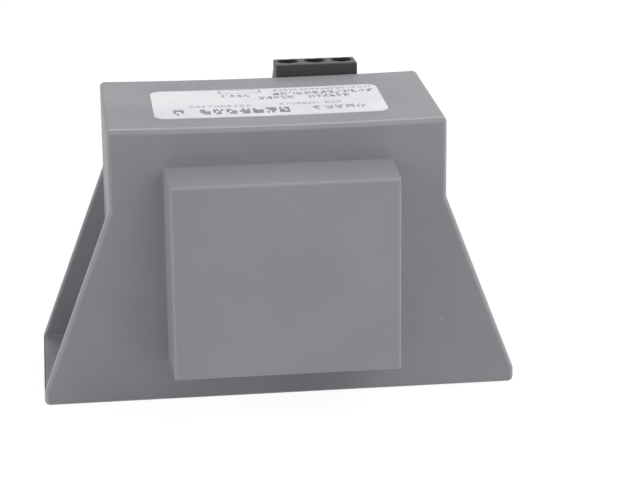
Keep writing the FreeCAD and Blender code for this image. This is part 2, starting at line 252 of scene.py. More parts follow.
def split_at(bm, faces, place, normal):
    """Cuts the given faces along a plane and leaves both sides."""
    edges = once_each(edge for face in faces for edge in face.edges)
    verts = once_each(vert for face in faces for vert in face.verts)
    bmesh.ops.bisect_plane(bm, geom=list(faces) + edges + verts,
                           plane_co=place, plane_no=normal, dist=1e-7)


def face_at(bm, y):
    """The largest face in the XZ plane at y."""
    return max((face for face in bm.faces if all(near(vert.co.y, y) for vert in face.verts)),
               key=lambda face: face.calc_area())


def rounded_face(bm, corners, y):
    """Face in the XZ plane at y; each corner is (x, z, reach of its rounding)."""
    verts = [bm.verts.new((x, y, z)) for x, z, reach in corners]
    bm.faces.new(verts)
    for vert, (x, z, reach) in zip(verts, corners):
        bmesh.ops.bevel(bm, geom=[vert], offset=reach, segments=6, profile=0.5,
                        affect="VERTICES", material=-1)


def step_in(bm, face, inset, forward):
    """Insets an end face and moves it along -Y."""
    bmesh.ops.inset_region(bm, faces=[face], thickness=inset, use_even_offset=True)
    bmesh.ops.translate(bm, vec=(0, -forward, 0), verts=face.verts)


def draw_in(bm, face, inset, forward, center_z):
    """Moves an upright end face along -Y and its corners in, with their radius kept."""
    bmesh.ops.inset_region(bm, faces=[face], thickness=0.0, depth=0.0)
    for across in (1, -1):
        for up in (1, -1):
            corner = [vert for vert in face.verts
                      if vert.co.x * across > 0 and (vert.co.z - center_z) * up > 0]
            bmesh.ops.translate(bm, verts=corner, vec=(-across * inset, -forward, -up * inset))


def close_rim(bm, face, radius, steps=6, toward=1, lean=0.0):
    """Rounds the rim of an end face by insets along an arc, from an angle up to a right angle."""
    for index in range(steps):
        start = lean + (math.pi / 2 - lean) * index / steps
        end = lean + (math.pi / 2 - lean) * (index + 1) / steps
        step_in(bm, face, radius * (math.cos(start) - math.cos(end)),
                toward * radius * (math.sin(end) - math.sin(start)))


def flare_root(bm, face, radius, steps=5):
    """Hollow rounding where a raised block leaves its wall."""
    for index in range(steps):
        start = math.pi / 2 * index / steps
        end = math.pi / 2 * (index + 1) / steps
        step_in(bm, face, radius * (math.sin(end) - math.sin(start)),
                radius * (math.cos(start) - math.cos(end)))


def object_from(bm, name):
    """Object at the origin with the bmesh as its mesh."""
    mesh = bpy.data.meshes.new(name)
    bm.to_mesh(mesh)
    bm.free()
    made = bpy.data.objects.new(name, mesh)
    bpy.context.scene.collection.objects.link(made)
    return made


def settle_modifiers(piece):
    """Makes a piece's modifiers part of its mesh."""
    depsgraph = bpy.context.evaluated_depsgraph_get()
    mesh = bpy.data.meshes.new_from_object(piece.evaluated_get(depsgraph))
    old = piece.data
    piece.modifiers.clear()
    piece.data = mesh
    bpy.data.meshes.remove(old)


def round_sharp_edges(piece, radius_of, settings):
    """Rounds each sharp outer edge by the radius that radius_of gives it."""
    widest = MM
    bm = bmesh.new()
    bm.from_mesh(piece.data)
    weight = bm.edges.layers.float.new("bevel_weight_edge")
    for edge in bm.edges:
        if edge.is_convex and edge.calc_face_angle(0.0) > math.radians(50):
            edge[weight] = radius_of(edge, settings) / widest
    bm.to_mesh(piece.data)
    bm.free()
    bevel = piece.modifiers.new("rounded_edges", "BEVEL")
    bevel.limit_method = "WEIGHT"
    bevel.width = widest
    bevel.segments = 4
    bevel.profile = 0.5
    bevel.loop_slide = False
    bevel.use_clamp_overlap = False
    settle_modifiers(piece)


def combine(piece, other, operation):
    """Joins another object to the piece, or cuts it out, and removes the other."""
    boolean = piece.modifiers.new("combine", "BOOLEAN")
    boolean.operation = operation
    boolean.solver = "EXACT"
    boolean.use_self = True
    boolean.object = other
    settle_modifiers(piece)
    bpy.data.objects.remove(other)
    # Where two cutters meet on one circle, faces of no width are left
    bm = bmesh.new()
    bm.from_mesh(piece.data)
    bmesh.ops.remove_doubles(bm, verts=bm.verts, dist=SLIVER)
    bmesh.ops.dissolve_degenerate(bm, edges=bm.edges, dist=SLIVER)
    bm.to_mesh(piece.data)
    bm.free()


def smooth_faces(piece):
    """Smooth shading in which flat faces stay flat and rounded edges blend."""
    piece.data.shade_smooth()
    piece.data.set_sharp_from_angle(angle=math.radians(40))
    weighted = piece.modifiers.new("flat_faces", "WEIGHTED_NORMAL")
    weighted.keep_sharp = True
    weighted.weight = 100


def paint_node(name, material):
    """Gives a CAD node its finish."""
    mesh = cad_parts[name].data
    mesh.materials.clear()
    mesh.materials.append(material)


def seat(piece, slot, material, *nodes):
    """Fixes a finished piece to the object in the place of CAD nodes."""
    piece.data.materials.clear()
    piece.data.materials.append(material)
    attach(piece, "root")
    for node in nodes:
        paint_node(node, material)
    if nodes:
        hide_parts(*nodes)


def add_cylinder(bm, radius, low, high, x, y, flare=0.0, segments=48):
    """Upright cylinder between two heights; flare widens its top end."""
    made = bmesh.ops.create_cone(
        bm, cap_ends=True, segments=segments, radius1=radius, radius2=radius + flare,
        depth=high - low, matrix=Matrix.Translation((x, y, (low + high) / 2)))
    return made["verts"]


def add_block(bm, low, high):
    """Box between two corners."""
    size = Vector(high) - Vector(low)
    place = Matrix.Translation((Vector(low) + Vector(high)) / 2)
    made = bmesh.ops.create_cube(bm, size=1.0, matrix=place @ Matrix.Diagonal((*size, 1.0)))
    return made["verts"]


# Case


def top_drop(x, sag):
    """How far the sagging top lies below its flat shape at a place along X."""
    return sag * max(0.0, 1.0 - (x / HALF_BODY) ** 2)


def shape_top(bm, above, sag):
    """Gives everything above a height the top's slope and sag."""
    for vert in bm.verts:
        if vert.co.z > above:
            rise = TOP_RISE * (vert.co.y - FRONT_Y) / (BACK_Y - FRONT_Y)
            vert.co.z += rise - top_drop(vert.co.x, sag)


def split_crown(bm, above):
    """Divides everything above a height along X, so that it can sag."""
    steps = 12
    for index in range(1, steps):
        crown = [face for face in bm.faces if all(vert.co.z > above for vert in face.verts)]
        split_at(bm, crown, (HALF_BODY * (2 * index / steps - 1), 0, 0), (1, 0, 0))


def case_body(settings):
    """Body and feet as one profile, with the lip ahead of the parting line."""
    reach = settings.corner_radius
    right = [
        (HALF_BASE, 0.0, reach),
        (HALF_BASE, FOOT_THICKNESS, FOOT_TOP_REACH),
        (HALF_BODY, GUSSET_TOP, GUSSET_TOP_REACH),
        (HALF_BODY, HEIGHT_FRONT, reach),
    ]
    start_y = FRONT_Y + LIP_DEPTH + FLASH_RADIUS
    rim_y = BACK_Y - BACK_RIM_RADIUS
    bm = bmesh.new()
    rounded_face(bm, right + [(-x, z, cut) for x, z, cut in reversed(right)], start_y)
    thicken(bm, (0, rim_y - start_y, 0))
    close_rim(bm, face_at(bm, rim_y), BACK_RIM_RADIUS, steps=3, toward=-1)
    front = face_at(bm, start_y)
    close_rim(bm, front, FLASH_RADIUS, steps=2)
    step_in(bm, front, PARTING_STEP - FLASH_RADIUS, 0.0)
    arc_depth = settings.lip_radius * (1 - math.sin(LIP_LEAN))
    step_in(bm, front, LIP_DRAFT, LIP_DEPTH - settings.lip_band - arc_depth)
    step_in(bm, front, settings.lip_band * math.tan(LIP_LEAN), settings.lip_band)
    close_rim(bm, front, settings.lip_radius, lean=LIP_LEAN)
    return bm


def cover_body(settings):
    """Raised coil cover, tapered towards its front face."""
    taper = math.tan(COVER_DRAFT)
    depth = FRONT_Y - COVER_FRONT_Y
    root = settings.root_radius
    reach = settings.cover_corner + root
    half_width = COVER_HALF_WIDTH + depth * taper + root
    half_height = COVER_HALF_HEIGHT + depth * taper + root
    corners = [(x, COVER_CENTER_Z + z, reach) for x, z in (
        (half_width, -half_height), (half_width, half_height),
        (-half_width, half_height), (-half_width, -half_height))]
    bm = bmesh.new()
    rounded_face(bm, corners, FRONT_Y + WALL / 2)
    start_y = FRONT_Y + TRIM
    thicken(bm, (0, start_y - FRONT_Y - WALL / 2, 0))
    front = face_at(bm, start_y)
    flare_root(bm, front, root)
    radius = settings.cover_radius
    straight = depth - root - radius
    draw_in(bm, front, straight * taper, straight + TRIM, COVER_CENTER_Z)
    steps = 6
    for index in range(steps):
        start = math.pi / 2 * index / steps
        end = math.pi / 2 * (index + 1) / steps
        draw_in(bm, front, radius * (math.cos(start) - math.cos(end)),
                radius * (math.sin(end) - math.sin(start)), COVER_CENTER_Z)
    return bm


def case_hollows(settings):
    """Everything that is open in the case: coil room, foot recesses and holes."""
    bm = bmesh.new()
    half = HALF_BODY - WALL
    room_y = FRONT_Y + WALL
    add_block(bm, (-half, room_y, WALL), (half, BACK_Y + MM, HEIGHT_FRONT - WALL))
    half_width = COVER_HALF_WIDTH - WALL
    half_height = COVER_HALF_HEIGHT - WALL
    add_block(bm, (-half_width, COVER_FRONT_Y + WALL, COVER_CENTER_Z - half_height),
              (half_width, room_y + WALL, COVER_CENTER_Z + half_height))
    for side in (1, -1):
        inner, outer = side * HALF_BODY, side * (HALF_BASE + MM)
        verts = add_block(bm, (min(inner, outer), FRONT_Y + WALL, FOOT_THICKNESS),
                          (max(inner, outer), BACK_Y - WALL, GUSSET_TOP + MM))
        corners = [edge for edge in once_each(edge for vert in verts for edge in vert.link_edges)
                   if not near(abs(middle_of(edge).x), HALF_BASE + MM)
                   and not near(middle_of(edge).z, GUSSET_TOP + MM)]
        bmesh.ops.bevel(bm, geom=corners, offset=settings.recess_radius, segments=3,
                        profile=0.5, affect="EDGES", material=-1)
        add_cylinder(bm, FOOT_HOLE_RADIUS, -MM, FOOT_THICKNESS + MM, side * FOOT_HOLE_X, 0.0)
    return bm


def recess_rim_radius(edge, settings):
    """Radius of a sharp edge round the mouth of a foot recess or of the coil room."""
    middle = middle_of(edge)
    side = abs(middle.x)
    if side > HALF_BODY + 0.02 * MM and abs(middle.y) < BACK_Y - WALL + 0.4 * MM:
        at_hole = (side - FOOT_HOLE_X) ** 2 + middle.y ** 2 < (FOOT_HOLE_RADIUS + 0.1 * MM) ** 2
        if middle.z > FOOT_THICKNESS - 0.6 * MM and not at_hole:
            if near(side, HALF_BASE):
                return FOOT_END_RADIUS
            return min(settings.gusset_radius, side - HALF_BODY)
    if near(middle.y, BACK_Y):
        return BACK_MOUTH_RADIUS
    return 0.0


def mould_case(settings):
    """The whole moulded case."""
    crown = HEIGHT_FRONT - 2 * WALL
    body, hollows = case_body(settings), case_hollows(settings)
    for bm in (body, hollows):
        split_crown(bm, crown)
        shape_top(bm, crown, settings.sag)
    case = object_from(body, "moulded_case")
    combine(case, object_from(cover_body(settings), "raised_cover"), "UNION")
    combine(case, object_from(hollows, "case_hollows"), "DIFFERENCE")
    round_sharp_edges(case, recess_rim_radius, settings)
    # Where two radii meet at the end of a foot, the rounding stands out a little
    for vert in case.data.vertices:
        vert.co.x = min(max(vert.co.x, -HALF_BASE), HALF_BASE)
    smooth_faces(case)
    return case


# Label


def cut_label(settings, sag):
    """Sticker with rounded corners that follows the top of the case."""
    low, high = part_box("rating_label")
    steps = 12
    bm = bmesh.new()
    corners = [(high.x, low.y), (high.x, high.y), (low.x, high.y), (low.x, low.y)]
    face = bm.faces.new([bm.verts.new((x, y, HEIGHT_FRONT)) for x, y in corners])
    bmesh.ops.bevel(bm, geom=list(face.verts), offset=settings.corner_radius, segments=8,
                    profile=0.5, affect="VERTICES", material=-1)
    for index in range(1, steps):
        x = low.x + (high.x - low.x) * index / steps
        split_at(bm, list(bm.faces), (x, 0, 0), (1, 0, 0))
    thicken(bm, (0, 0, LABEL_THICKNESS))
    shape_top(bm, 0.0, sag)
    label = object_from(bm, "rating_sticker")
    smooth_faces(label)
    return label


# Terminal blocks


def pole_places(node):
    """X of each pole of the terminal block that a CAD node is."""
    low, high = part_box(node)
    count = round((high.x - low.x) / PITCH)
    return [low.x + PITCH * (index + 0.5) for index in range(count)]


def mould_block(node, name, settings):
    """Terminal block body with its bores, chambers and wire entries."""
    low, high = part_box(node)
    bm = bmesh.new()
    profile = [
        (low.y, low.z),
        (high.y, low.z),
        (high.y, high.z - BLOCK_SHOULDER),
        (low.y + BLOCK_TOP_DEPTH, high.z - BLOCK_NECK),
        (low.y + BLOCK_TOP_DEPTH, high.z),
        (low.y, high.z),
    ]
    bm.faces.new([bm.verts.new((low.x, y, z)) for y, z in profile])
    thicken(bm, (high.x - low.x, 0, 0))
    bmesh.ops.bevel(bm, geom=bm.edges, offset=settings.edge_radius, segments=3, profile=0.5,
                    affect="EDGES", material=-1)
    bmesh.ops.recalc_face_normals(bm, faces=bm.faces)
    block = object_from(bm, name)
    cutter = bmesh.new()
    for x in pole_places(node):
        y = low.y + SCREW_Y
        add_cylinder(cutter, BORE_RADIUS, high.z - BORE_DEPTH, high.z + MM, x, y)
        # A cone of 45 degrees leaves the flare at the bore's mouth
        add_cylinder(cutter, BORE_RADIUS, high.z - BORE_FLARE, high.z + CUTTER_REACH, x, y,
                     flare=BORE_FLARE + CUTTER_REACH)
        add_block(cutter, (x - CHAMBER_HALF_WIDTH, low.y + CHAMBER_WALL, low.z + CHAMBER_FLOOR),
                  (x + CHAMBER_HALF_WIDTH, low.y + BLOCK_TOP_DEPTH, low.z + CHAMBER_TOP))
        add_cylinder(cutter, SHANK_RADIUS + SHANK_CLEARANCE, low.z + SHANK_BORE_LOW,
                     high.z - SHANK_BORE_DROP, x, y)
        entry = Matrix.Translation((x, high.y, low.z + ENTRY_Z)) @ Matrix.Rotation(
            math.pi / 2, 4, "X")
        for flare, depth in ((0.0, 2 * ENTRY_DEPTH), (ENTRY_FLARE, ENTRY_FLARE)):
            bmesh.ops.create_cone(
                cutter, cap_ends=True, segments=48, radius1=ENTRY_RADIUS + flare,
                radius2=ENTRY_RADIUS, depth=depth, matrix=entry)
    combine(block, object_from(cutter, name + "_cutter"), "DIFFERENCE")
    smooth_faces(block)
    return block


def turn_screws(node, name):
    """Slotted cheese-head screws, one for each solid of the CAD node."""
    low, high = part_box(node)
    y = (low.y + high.y) / 2
    seat_z = high.z - HEAD_HEIGHT
    bm = bmesh.new()
    cutter = bmesh.new()
    count = round((high.x - low.x - 2 * HEAD_RADIUS) / PITCH) + 1
    for index in range(count):
        x = low.x + HEAD_RADIUS + index * PITCH
        head = add_cylinder(bm, HEAD_RADIUS, seat_z, high.z, x, y, segments=64)
        rim = [edge for edge in once_each(edge for vert in head for edge in vert.link_edges)
               if near(middle_of(edge).z, high.z)]
        bmesh.ops.bevel(bm, geom=rim, offset=HEAD_EDGE_RADIUS, segments=3, profile=0.5,
                        affect="EDGES", material=-1)
        add_cylinder(bm, SHANK_RADIUS, low.z, seat_z + 0.3 * MM, x, y)
        add_block(cutter, (x - 2 * MM, y - SLOT_WIDTH / 2, high.z - SLOT_DEPTH),
                  (x + 2 * MM, y + SLOT_WIDTH / 2, high.z + MM))
    screws = object_from(bm, name)
    combine(screws, object_from(cutter, name + "_cutter"), "DIFFERENCE")
    smooth_faces(screws)
    return screws


# Former and resin


def finish_former():
    """The coil former's own shape, with its moulded edges softened."""
    bm = bmesh.new()
    bm.from_mesh(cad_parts["coil_former"].data)
    bmesh.ops.remove_doubles(bm, verts=bm.verts, dist=1e-6)
    bmesh.ops.dissolve_limit(bm, angle_limit=math.radians(1), verts=bm.verts, edges=bm.edges)
    shelf_edges = [edge for edge in bm.edges
                   if middle_of(edge).y > BACK_Y and edge.calc_face_angle(0.0) > math.radians(20)]
    bmesh.ops.bevel(bm, geom=shelf_edges, offset=FORMER_EDGE_RADIUS, segments=3, profile=0.5,
                    affect="EDGES", material=-1)
    former = object_from(bm, "moulded_former")
    smooth_faces(former)
    return former


def pour_resin(sag):
    """Cast surface of the resin, drawn up where it wets the case."""
    half = HALF_BODY - WALL
    top = HEIGHT_FRONT + TOP_RISE - WALL
    steps = 96
    bm = bmesh.new()
    bmesh.ops.create_grid(bm, x_segments=steps, y_segments=steps, size=0.5)
    for vert in bm.verts:
        # The squares get narrower towards the walls
        across, up = (0.5 - 0.5 * math.cos(math.pi * (place + 0.5)) for place in vert.co.xy)
        x = -half + 2 * half * across
        high_z = top - top_drop(x, sag)
        z = WALL + (high_z - WALL) * up
        wall_gap = min(half - abs(x), z - WALL, high_z - z)
        climb = RESIN_CLIMB * math.exp(-wall_gap / RESIN_CLIMB_WIDTH)
        vert.co = (x, RESIN_Y + 2 * TRIM + climb, z)
    thicken(bm, (0, -RESIN_SKIN, 0))
    resin = object_from(bm, "resin_surface")
    smooth_faces(resin)
    return resin


# Materials


def linear(hex_colour):
    """Linear colour of an sRGB hex value."""
    channels = [int(hex_colour[start:start + 2], 16) / 255 for start in (0, 2, 4)]
    return [c / 12.92 if c <= 0.04045 else ((c + 0.055) / 1.055) ** 2.4 for c in channels] + [1.0]


def per_metre(size):
    """Texture scale at which a pattern's features have about this size."""
    return 1.0 / size


def add_node(tree, kind, inputs=None, **settings):
    """Adds a node with its settings and links, and returns its first output."""
    node = tree.nodes.new(kind)
    for name, value in settings.items():
        setattr(node, name, value)
    sockets = [socket for socket in node.inputs if socket.enabled]
    for key, value in (inputs or {}).items():
        socket = sockets[key] if isinstance(key, int) else next(
            socket for socket in sockets if socket.name == key)
        if isinstance(value, bpy.types.NodeSocket):
            tree.links.new(value, socket)
        else:
            socket.default_value = linear(value) if isinstance(value, str) else value
    return next((socket for socket in node.outputs if socket.enabled), None)


def new_material(name):
    """Empty material, its tree, and the object coordinates."""
    material = bpy.data.materials.new(name)
    material.use_nodes = True
    tree = material.node_tree
    tree.nodes.clear()
    place = add_node(tree, "ShaderNodeTexCoord").node.outputs["Object"]
    return material, tree, place


def spark_textured_abs(colour):
    """ABS moulded in a spark-eroded cavity: fine matt grain, faint clouding, a few specks, and
    painted highlights along the parting line and the cover's rim.
    """
    material, tree, place = new_material("spark_textured_ABS")
    cloud = add_node(tree, "ShaderNodeTexNoise", {
        "Vector": place, "Scale": per_metre(16 * MM), "Detail": 3.0, "Roughness": 0.55})
    # The grit of such a cavity is 0.05 mm, drawn coarser so that it shows
    grain = add_node(tree, "ShaderNodeTexNoise", {
        "Vector": place, "Scale": per_metre(0.45 * MM), "Detail": 2.0})
    speck = add_node(tree, "ShaderNodeTexVoronoi", {"Vector": place, "Scale": per_metre(9 * MM)})
    cloudiness = add_node(tree, "ShaderNodeMapRange", {
        "Value": cloud, "From Min": 0.35, "From Max": 0.65})
    clouded = add_node(tree, "ShaderNodeMix", {
        "Factor": cloudiness, "A": colour, "B": "95949A"}, data_type="RGBA")
    graininess = add_node(tree, "ShaderNodeMapRange", {
        "Value": grain, "From Min": 0.3, "From Max": 0.7, "To Max": 0.10})
    grained = add_node(tree, "ShaderNodeMix", {
        "Factor": graininess, "A": clouded, "B": "ADACB1"}, data_type="RGBA")
    # Painted highlights: the parting line is drawn pale, and the cover's rim a little pale, as
    # they look in the photograph
    depth = add_node(tree, "ShaderNodeSeparateXYZ", {"Vector": place}).node.outputs["Y"]
    with_painted_highlights = grained
    for line_y, half_width, fade, strength in (
            (FRONT_Y + LIP_DEPTH, 0.10 * MM, 0.14 * MM, 0.8),
            (COVER_FRONT_Y + 0.22 * MM, 0.05 * MM, 0.20 * MM, 0.15)):
        behind = add_node(tree, "ShaderNodeMath", {0: depth, 1: line_y}, operation="SUBTRACT")
        away = add_node(tree, "ShaderNodeMath", {0: behind}, operation="ABSOLUTE")
        painted_highlight_mask = add_node(tree, "ShaderNodeMapRange", {
            "Value": away, "From Min": half_width, "From Max": half_width + fade,
            "To Min": strength, "To Max": 0.0})
        with_painted_highlights = add_node(tree, "ShaderNodeMix", {
            "Factor": painted_highlight_mask, "A": with_painted_highlights, "B": "CDCDD0"}, data_type="RGBA")
    fleck = add_node(tree, "ShaderNodeMapRange", {
        "Value": speck, "From Min": 0.012, "From Max": 0.03, "To Min": 0.5, "To Max": 0.0})
    flecked = add_node(tree, "ShaderNodeMix", {
        "Factor": fleck, "A": with_painted_highlights, "B": "BEBEC0"}, data_type="RGBA")
    dullness = add_node(tree, "ShaderNodeMapRange", {
        "Value": cloud, "From Min": 0.3, "From Max": 0.7, "To Min": 0.50, "To Max": 0.58})
    relief = add_node(tree, "ShaderNodeBump", {"Height": grain, "Distance": 0.012 * MM})
    shader = add_node(tree, "ShaderNodeBsdfPrincipled", {
        "Base Color": flecked, "Roughness": dullness, "IOR": 1.5, "Normal": relief})
    add_node(tree, "ShaderNodeOutputMaterial", {"Surface": shader})
    return material


def glass_filled_nylon(name, colour, pole=None):
    """Black glass-filled nylon: slightly grey, with a faint fibre streak and a dull sheen.

    The screw bores get painted shade, which draws them blacker, as they look in the photograph;
    pole is one of their axes.
    """
    material, tree, place = new_material(name)
    along = add_node(tree, "ShaderNodeMapping", {"Vector": place, "Scale": (1, 1, 0.25)})
    streak = add_node(tree, "ShaderNodeTexNoise", {
        "Vector": along, "Scale": per_metre(0.8 * MM), "Detail": 3.0})
    dust = add_node(tree, "ShaderNodeTexVoronoi", {"Vector": place, "Scale": per_metre(2.4 * MM)})
    streakiness = add_node(tree, "ShaderNodeMapRange", {
        "Value": streak, "From Min": 0.35, "From Max": 0.65})
    streaked = add_node(tree, "ShaderNodeMix", {
        "Factor": streakiness, "A": colour, "B": "434342"}, data_type="RGBA")
    dustiness = add_node(tree, "ShaderNodeMapRange", {
        "Value": dust, "From Min": 0.04, "From Max": 0.10, "To Min": 0.55, "To Max": 0.0})
    dust_and_bore_shade = add_node(tree, "ShaderNodeMix", {
        "Factor": dustiness, "A": streaked, "B": "8A8A86"}, data_type="RGBA")
    if pole:
        from_pole = add_node(tree, "ShaderNodeVectorMath", {
            0: place, 1: (pole[0] + PITCH / 2, pole[1], 0.0)}, operation="SUBTRACT")
        across = add_node(tree, "ShaderNodeSeparateXYZ", {"Vector": from_pole})
        # Folded about each bore, so that one test does for all of them
        folded = add_node(tree, "ShaderNodeMath", {0: across, 1: PITCH / 2}, operation="PINGPONG")
        beside = add_node(tree, "ShaderNodeMath", {0: PITCH / 2, 1: folded}, operation="SUBTRACT")
        offset = add_node(tree, "ShaderNodeCombineXYZ", {
            "X": beside, "Y": across.node.outputs["Y"]})
        radius = add_node(tree, "ShaderNodeVectorMath", {0: offset},
                          operation="LENGTH").node.outputs["Value"]
        painted_bore_shade = add_node(tree, "ShaderNodeMapRange", {
            "Value": radius, "From Min": BORE_RADIUS + BORE_FLARE * 2 / 3,
            "From Max": BORE_RADIUS + BORE_FLARE, "To Min": 1.0, "To Max": 0.0})
        # Painted shade: inside each bore the colour goes towards near black
        dust_and_bore_shade = add_node(tree, "ShaderNodeMix", {
            "Factor": painted_bore_shade, "A": dust_and_bore_shade, "B": "292928"}, data_type="RGBA")
    dullness = add_node(tree, "ShaderNodeMapRange", {
        "Value": streak, "From Min": 0.3, "From Max": 0.7, "To Min": 0.52, "To Max": 0.64})
    relief = add_node(tree, "ShaderNodeBump", {"Height": streak, "Distance": 0.01 * MM})
    shader = add_node(tree, "ShaderNodeBsdfPrincipled", {
        "Base Color": dust_and_bore_shade, "Roughness": dullness, "Normal": relief})
    add_node(tree, "ShaderNodeOutputMaterial", {"Surface": shader})
    return material


def row_of_strokes(tree, place, seed, start, end, middle, height, pitch):
    """1 where a row of meaningless strokes is inked; places and sizes in mm."""
    corner = add_node(tree, "ShaderNodeVectorMath", {
        0: place, 1: (start * MM, (middle - height / 2) * MM, 0.0)}, operation="SUBTRACT")
    strokes = add_node(tree, "ShaderNodeVectorMath", {
        0: corner, 1: (pitch / 5 * MM, height / 3 * MM, 1.0)}, operation="SNAP")
    letters = add_node(tree, "ShaderNodeVectorMath", {
        0: corner, 1: (pitch * MM, 1.0, 1.0)}, operation="SNAP")
    across = add_node(tree, "ShaderNodeSeparateXYZ", {"Vector": corner})
    deep = across.node.outputs["Y"]
    in_letter = add_node(tree, "ShaderNodeMath", {0: across, 1: pitch * MM}, operation="MODULO")
    tests = (
        (add_node(tree, "ShaderNodeTexWhiteNoise", {"Vector": strokes, "W": seed},
                  noise_dimensions="4D"), "GREATER_THAN", 0.32, 0.0),
        (add_node(tree, "ShaderNodeTexWhiteNoise", {"Vector": letters, "W": seed + 20.0},
                  noise_dimensions="4D"), "GREATER_THAN", 0.10, 0.0),
        (in_letter, "LESS_THAN", 0.79 * pitch * MM, 0.0),
        (across, "COMPARE", (end - start) / 2 * MM, (end - start) / 2 * MM),
        (deep, "COMPARE", height / 2 * MM, height / 2 * MM),
    )
    inked = 1.0
    for value, operation, limit, reach in tests:
        test = {0: value, 1: limit}
        if operation == "COMPARE":
            test[2] = reach
        passed = add_node(tree, "ShaderNodeMath", test, operation=operation)
        inked = add_node(tree, "ShaderNodeMath", {0: inked, 1: passed}, operation="MULTIPLY")
    return inked


def plain_box(tree, place, middle_x, middle_y, half_width, half_depth):
    """1 inside an upright rectangle; sizes in mm."""
    across = add_node(tree, "ShaderNodeSeparateXYZ", {"Vector": place})
    inside_x = add_node(tree, "ShaderNodeMath", {
        0: across, 1: middle_x * MM, 2: half_width * MM}, operation="COMPARE")
    inside_y = add_node(tree, "ShaderNodeMath", {
        0: across.node.outputs["Y"], 1: middle_y * MM, 2: half_depth * MM}, operation="COMPARE")
    return add_node(tree, "ShaderNodeMath", {0: inside_x, 1: inside_y}, operation="MULTIPLY")


def polyester_film(settings):
    """Satin white polyester label with rows of dark print too small to read."""
    material, tree, place = new_material("printed_polyester_film")
    rows = (
        # start and end along X, middle along Y, height and letter pitch in mm, and darkness
        (-17.1, 3.1, -6.1, 3.3, 2.3, 1.0),
        (7.3, 16.5, -5.6, 2.2, 1.9, 0.75),
        (-14.2, -3.2, -2.7, 1.3, 1.1, 0.6),
        (1.7, 12.7, -2.5, 1.3, 1.0, 0.6),
        (-1.4, 14.5, 1.8, 1.8, 1.25, 0.9),
        (1.2, 19.2, 4.1, 1.8, 1.4, 0.9),
        (1.4, 19.0, 6.4, 1.1, 0.95, 0.7),
        (-8.0, -2.9, 3.7, 1.6, 1.3, 0.8),
    )
    ink = 0.0
    for seed, (start, end, middle, height, pitch, darkness) in enumerate(rows):
        strokes = row_of_strokes(tree, place, float(seed), start, end, middle, height, pitch)
        row = add_node(tree, "ShaderNodeMath", {0: strokes, 1: darkness}, operation="MULTIPLY")
        ink = add_node(tree, "ShaderNodeMath", {0: ink, 1: row}, operation="MAXIMUM")
    # An empty frame, as for a date
    outer = plain_box(tree, place, -4.6, 6.45, 3.8, 1.05)
    inner = plain_box(tree, place, -4.6, 6.45, 3.5, 0.75)
    box_line = add_node(tree, "ShaderNodeMath", {0: outer, 1: inner}, operation="SUBTRACT")
    box_ink = add_node(tree, "ShaderNodeMath", {0: box_line, 1: 0.75}, operation="MULTIPLY")
    ink = add_node(tree, "ShaderNodeMath", {0: ink, 1: box_ink}, operation="MAXIMUM")
    wear = add_node(tree, "ShaderNodeTexNoise", {
        "Vector": place, "Scale": per_metre(0.6 * MM), "Detail": 2.0})
    kept = add_node(tree, "ShaderNodeMapRange", {
        "Value": wear, "From Min": 0.35, "From Max": 0.6, "To Min": 0.7})
    inked = add_node(tree, "ShaderNodeMath", {0: ink, 1: kept}, operation="MULTIPLY")
    shade = add_node(tree, "ShaderNodeTexNoise", {
        "Vector": place, "Scale": per_metre(9 * MM), "Detail": 2.0})
    unevenness = add_node(tree, "ShaderNodeMapRange", {
        "Value": shade, "From Min": 0.35, "From Max": 0.65})
    film = add_node(tree, "ShaderNodeMix", {
        "Factor": unevenness, "A": settings.film, "B": "EEEEF4"}, data_type="RGBA")
    printed = add_node(tree, "ShaderNodeMix", {
        "Factor": inked, "A": film, "B": settings.ink}, data_type="RGBA")
    dullness = add_node(tree, "ShaderNodeMapRange", {
        "Value": shade, "From Min": 0.3, "From Max": 0.7, "To Min": 0.34, "To Max": 0.42})
    relief = add_node(tree, "ShaderNodeBump", {"Height": shade, "Distance": 0.02 * MM})
    shader = add_node(tree, "ShaderNodeBsdfPrincipled", {
        "Base Color": printed, "Roughness": dullness, "Normal": relief})
    add_node(tree, "ShaderNodeOutputMaterial", {"Surface": shader})
    return material


def plated_metal(name, colour, dark, roughness, grain):
    """Plated metal: bright, with fine tumbling marks and a slightly uneven tone."""
    material, tree, place = new_material(name)
    mark = add_node(tree, "ShaderNodeTexNoise", {
        "Vector": place, "Scale": per_metre(grain), "Detail": 4.0})
    unevenness = add_node(tree, "ShaderNodeMapRange", {
        "Value": mark, "From Min": 0.35, "From Max": 0.7})
    tone = add_node(tree, "ShaderNodeMix", {
        "Factor": unevenness, "A": colour, "B": dark}, data_type="RGBA")
    dullness = add_node(tree, "ShaderNodeMapRange", {
        "Value": mark, "From Min": 0.3, "From Max": 0.7,
        "To Min": roughness, "To Max": roughness + 0.15})
    relief = add_node(tree, "ShaderNodeBump", {"Height": mark, "Distance": 0.01 * MM})
    shader = add_node(tree, "ShaderNodeBsdfPrincipled", {
        "Base Color": tone, "Metallic": 1.0, "Roughness": dullness, "Normal": relief})
    add_node(tree, "ShaderNodeOutputMaterial", {"Surface": shader})
    return material


def oiled_core_steel():
    """Cold-rolled silicon steel, grey with a thin insulating oxide."""
    return plated_metal("oiled_silicon_steel", "6E7278", "50545A", 0.38, 0.8 * MM)


